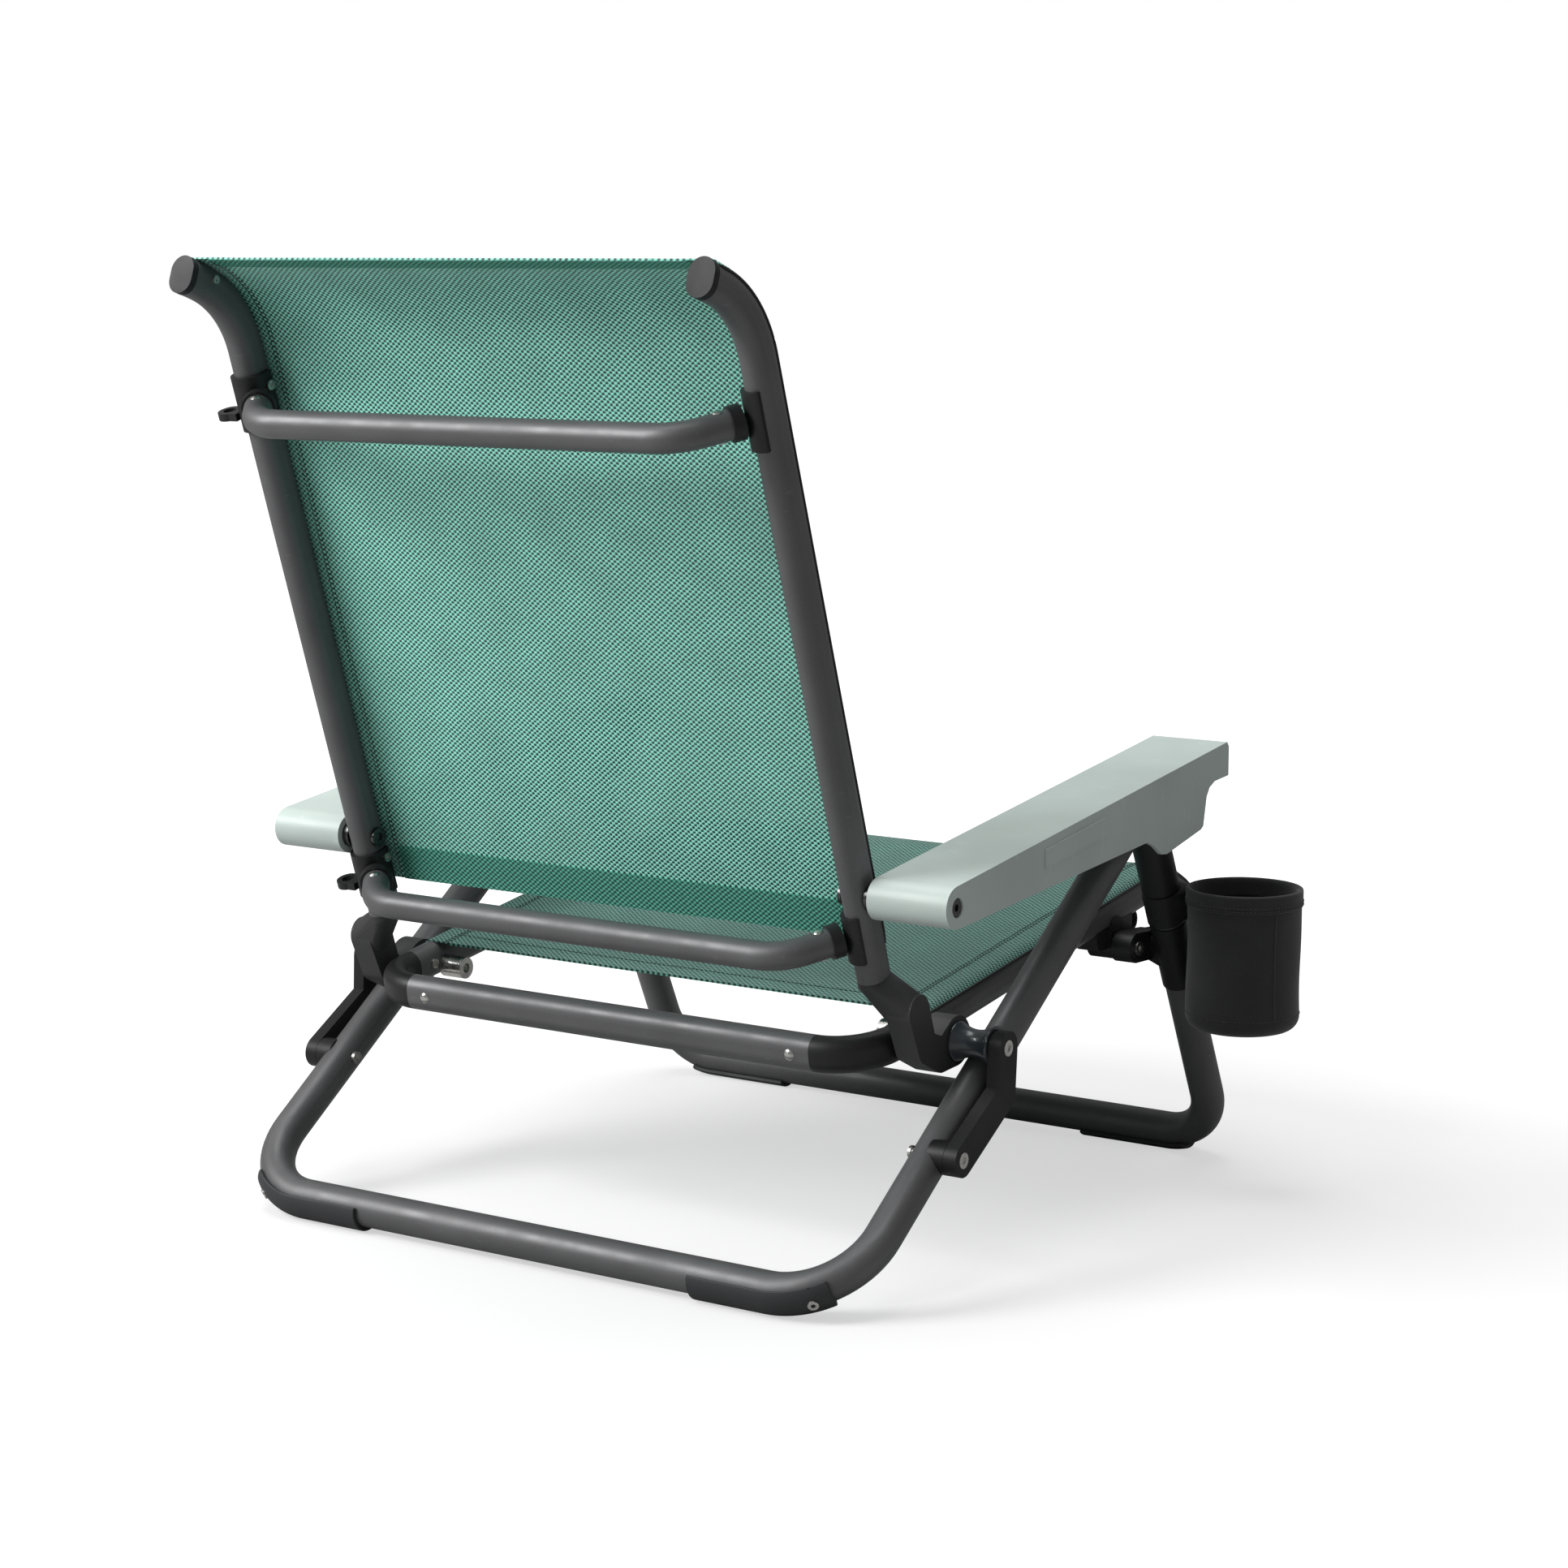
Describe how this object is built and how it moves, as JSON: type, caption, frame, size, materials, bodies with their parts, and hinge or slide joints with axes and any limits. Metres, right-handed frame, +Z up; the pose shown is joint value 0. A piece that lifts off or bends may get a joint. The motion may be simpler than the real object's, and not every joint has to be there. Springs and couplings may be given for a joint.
{
  "type": "folding beach chair",
  "caption": "Low folding beach chair with a sling seat, a reclining sling back, hinged armrests, two U-shaped legs and a side cup holder.",
  "frame": {"origin": "middle of the floor area that the chair covers", "axes": "+Z up, the sitter faces -Y, +X is the sitter's left"},
  "size_m": [0.7322, 0.7308, 0.7673],
  "materials": {
    "frame_tube": "satin powder coat, warm dark grey",
    "black_plastic": "moulded, fine grain",
    "armrest_shell": "smooth moulded, pale grey-green",
    "sling_fabric": "woven mesh, mint on dark teal",
    "stainless": "stainless, turned",
    "spool_rubber": "slate blue, smooth",
    "cup_fabric": "black stretch fabric over a liner"
  },
  "bodies": {
    "seat": {"seat_rail_left": "frame_tube", "seat_rail_right": "frame_tube", "seat_rear_bar": "frame_tube", "seat_elbow_left": "black_plastic", "seat_elbow_right": "black_plastic", "seat_front_bar": "frame_tube", "seat_sling": "sling_fabric", "rail_plugs": "black_plastic", "seat_rivets": "stainless", "front_mount_left": "black_plastic", "front_mount_right": "black_plastic", "front_pins": "stainless", "hinge_bolt_left": "stainless", "hinge_bolt_right": "stainless", "spool_left": "spool_rubber", "spool_right": "spool_rubber"},
    "front_legs": {"front_leg": "frame_tube", "apex_pins": "stainless", "front_knuckle_left": "black_plastic", "front_knuckle_right": "black_plastic", "front_tee_left": "black_plastic", "front_tee_right": "black_plastic", "front_foot_left": "black_plastic", "front_foot_right": "black_plastic", "foot_screws_front": "stainless", "cup_clip": "black_plastic", "cup_pouch": "cup_fabric", "cup_rim": "cup_fabric"},
    "rear_legs": {"rear_leg": "frame_tube", "link_bosses": "black_plastic", "link_studs": "stainless", "rear_leg_plugs": "black_plastic", "rear_foot_left": "black_plastic", "rear_foot_right": "black_plastic", "foot_screws_rear": "stainless"},
    "links": {"link_left": "black_plastic", "link_right": "black_plastic", "link_bolts": "stainless"},
    "back_bushes": {"back_bushes": "stainless"},
    "back": {"stile_left": "frame_tube", "stile_right": "frame_tube", "stile_caps": "black_plastic", "upper_crossbar": "frame_tube", "lower_crossbar": "frame_tube", "upper_bracket_left": "black_plastic", "upper_bracket_right": "black_plastic", "lower_bracket_left": "black_plastic", "lower_bracket_right": "black_plastic", "back_sling": "sling_fabric", "hook_left": "frame_tube", "hook_right": "frame_tube", "back_rivets": "stainless", "back_screws": "stainless", "armrest_bolt_left": "stainless", "armrest_bolt_right": "stainless"},
    "armrest_bush_left": {"armrest_bush_left": "stainless"},
    "armrest_bush_right": {"armrest_bush_right": "stainless"},
    "armrest_left": {"armrest_left": "armrest_shell"},
    "armrest_right": {"armrest_right": "armrest_shell"}
  },
  "joints": [
    {"name": "fold", "type": "hinge", "parent": "seat", "child": "front_legs", "pos_m": [0.0389, -0.2116, 0.2], "axis": [1, 0, 0], "range_deg": [0, 80]},
    {"name": "rear_leg_fold", "type": "hinge", "parent": "front_legs", "child": "rear_legs", "pos_m": [0.0389, -0.1565, 0.3107], "axis": [1, 0, 0], "range_deg": [-72.6, 0]},
    {"name": "link_fold", "type": "hinge", "parent": "seat", "child": "links", "pos_m": [0.0389, 0.0774, 0.1768], "axis": [1, 0, 0], "range_deg": [-84.4, 0]},
    {"name": "back_fold", "type": "hinge", "parent": "seat", "child": "back_bushes", "pos_m": [0.0389, 0.0774, 0.1768], "axis": [1, 0, 0], "range_deg": [0, 96]},
    {"name": "recline", "type": "hinge", "parent": "back_bushes", "child": "back", "pos_m": [0.0389, 0.0774, 0.1768], "axis": [1, 0, 0], "range_deg": [-25, 0]},
    {"name": "armrest_left_level", "type": "hinge", "parent": "back", "child": "armrest_bush_left", "pos_m": [0.0389, 0.1626, 0.2982], "axis": [1, 0, 0], "range_deg": [0, 19]},
    {"name": "armrest_left_fold", "type": "hinge", "parent": "armrest_bush_left", "child": "armrest_left", "pos_m": [0.0389, 0.1626, 0.2982], "axis": [1, 0, 0], "range_deg": [-95.6, 0]},
    {"name": "armrest_right_level", "type": "hinge", "parent": "back", "child": "armrest_bush_right", "pos_m": [0.0389, 0.1626, 0.2982], "axis": [1, 0, 0], "range_deg": [0, 19]},
    {"name": "armrest_right_fold", "type": "hinge", "parent": "armrest_bush_right", "child": "armrest_right", "pos_m": [0.0389, 0.1626, 0.2982], "axis": [1, 0, 0], "range_deg": [-95.6, 0]}
  ],
  "couplings": [
    {"joint": "rear_leg_fold", "follows": "fold", "ratio": -0.9075},
    {"joint": "link_fold", "follows": "fold", "ratio": -1.055},
    {"joint": "back_fold", "follows": "fold", "ratio": 1.2},
    {"joint": "armrest_left_level", "follows": "recline", "ratio": -0.76},
    {"joint": "armrest_left_fold", "follows": "fold", "ratio": -1.195},
    {"joint": "armrest_right_level", "follows": "recline", "ratio": -0.76},
    {"joint": "armrest_right_fold", "follows": "fold", "ratio": -1.195}
  ]
}
